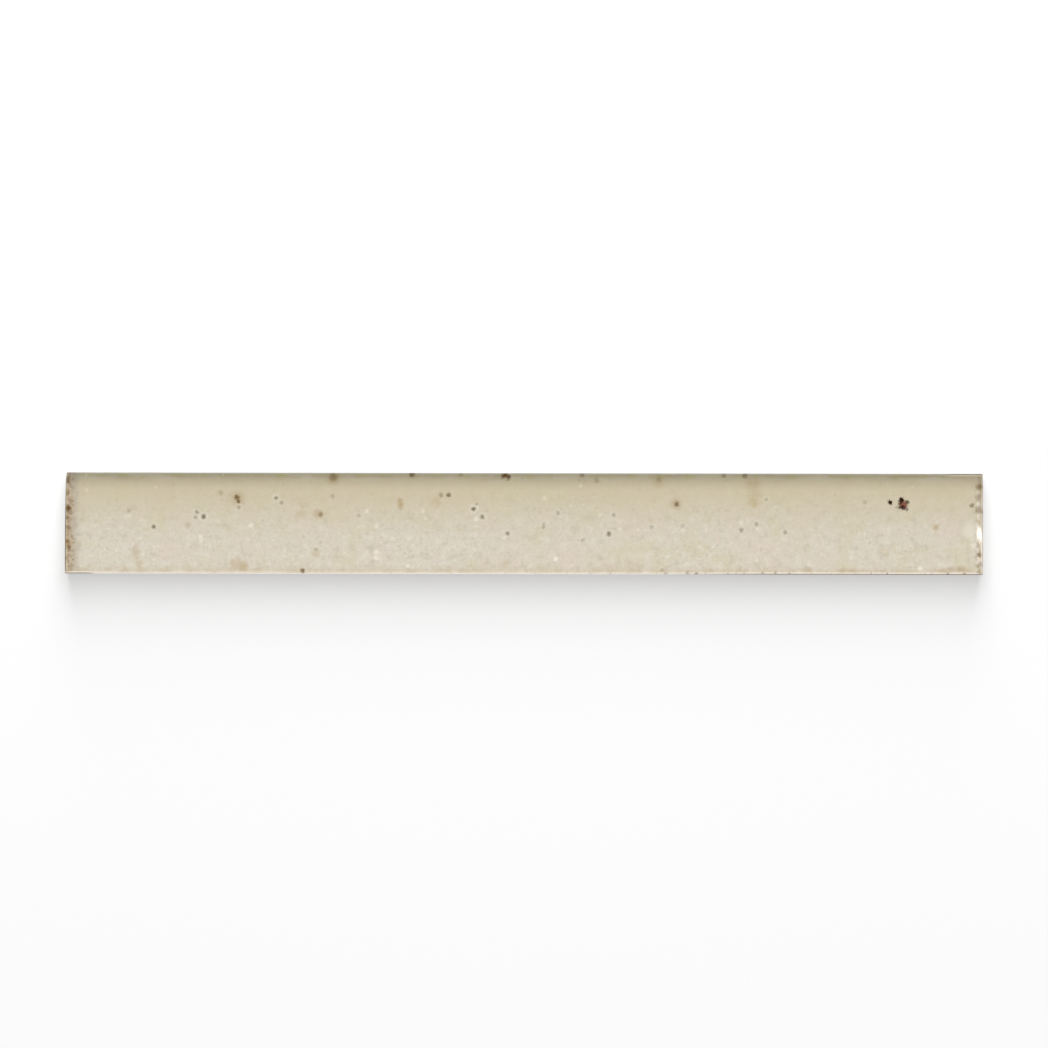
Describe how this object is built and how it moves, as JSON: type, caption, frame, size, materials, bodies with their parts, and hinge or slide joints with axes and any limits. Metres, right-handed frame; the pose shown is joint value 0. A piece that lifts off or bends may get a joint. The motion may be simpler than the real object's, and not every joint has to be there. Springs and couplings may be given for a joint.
{
  "type": "porcelain trim tile",
  "caption": "Narrow glazed porcelain trim strip with one rolled long edge, eased ends and a grooved back, for finishing the edge of a tiled surface.",
  "frame": {"origin": "centre of the back plane, which the tile lies on", "axes": "+X along the strip, +Y towards the rolled long edge, +Z out of the glazed face"},
  "size_m": [0.2, 0.022, 0.009],
  "materials": {
    "glazed_porcelain": "gloss"
  },
  "bodies": {
    "root": {"trim_tile": "glazed_porcelain"}
  },
  "joints": []
}
